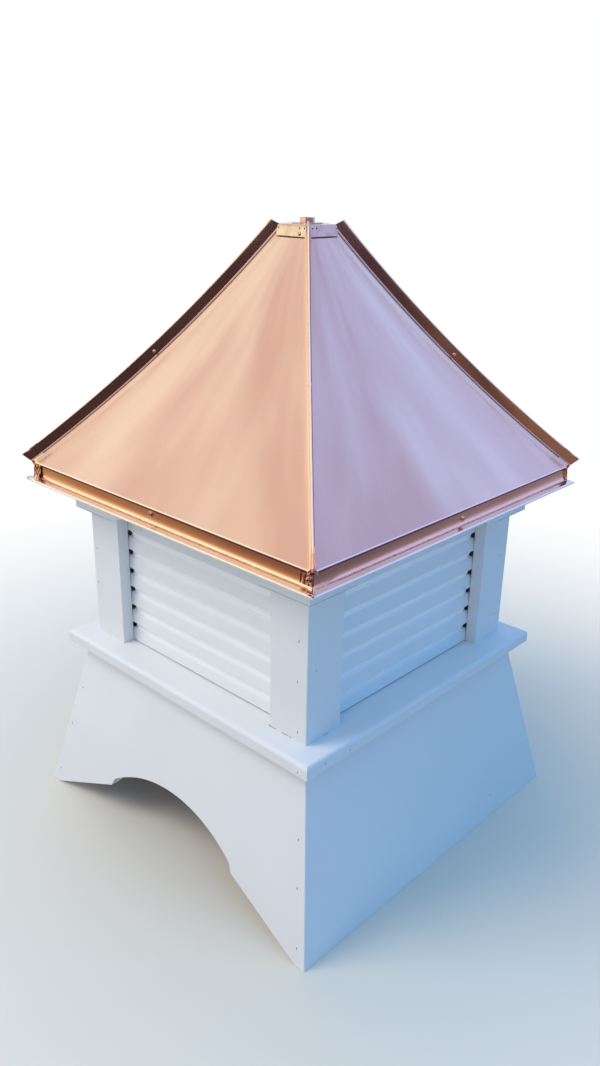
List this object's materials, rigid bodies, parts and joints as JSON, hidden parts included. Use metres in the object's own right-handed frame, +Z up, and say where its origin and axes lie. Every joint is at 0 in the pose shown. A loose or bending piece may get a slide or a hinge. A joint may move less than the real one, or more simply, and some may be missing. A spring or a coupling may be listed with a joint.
{
  "type": "barn cupola",
  "caption": "Louvred square cupola with a flared skirt cut to sit over a roof ridge, a moulded sill, corner posts, arched headers and a hollow-curved hipped copper roof with standing seams.",
  "frame": {"origin": "centre of the base, at the level of the skirt's lower corners", "axes": "+Z up; -Y is the front, the skirt side with the saddle cut, and the ridge runs along Y; +X is the right side, with a plain lower edge"},
  "size_m": [0.6148, 0.6148, 0.945],
  "materials": {
    "white_board": "smooth white cellular board",
    "white_louvre": "satin white",
    "copper": "new bare copper sheet",
    "socket_metal": "plain",
    "timber": "unfinished softwood"
  },
  "bodies": {
    "root": {"corner_studs": "timber", "eave_board": "white_board", "eave_corner_tabs": "copper", "header_back": "white_board", "header_front": "white_board", "header_left": "white_board", "header_right": "white_board", "hip_ribs": "timber", "hip_seam_back_left": "copper", "hip_seam_back_right": "copper", "hip_seam_front_left": "copper", "hip_seam_front_right": "copper", "king_block": "timber", "louvre_battens_back": "timber", "louvre_battens_front": "timber", "louvre_battens_left": "timber", "louvre_battens_right": "timber", "louvre_blades_back": "white_louvre", "louvre_blades_front": "white_louvre", "louvre_blades_left": "white_louvre", "louvre_blades_right": "white_louvre", "peak_cap": "copper", "post_boards_back": "white_board", "post_boards_front": "white_board", "post_boards_left": "white_board", "post_boards_right": "white_board", "rod_socket": "socket_metal", "roof_panel_back": "copper", "roof_panel_front": "copper", "roof_panel_left": "copper", "roof_panel_right": "copper", "sill_back": "white_board", "sill_front": "white_board", "sill_left": "white_board", "sill_right": "white_board", "skirt_back": "white_board", "skirt_front": "white_board", "skirt_left": "white_board", "skirt_right": "white_board"}
  },
  "joints": []
}
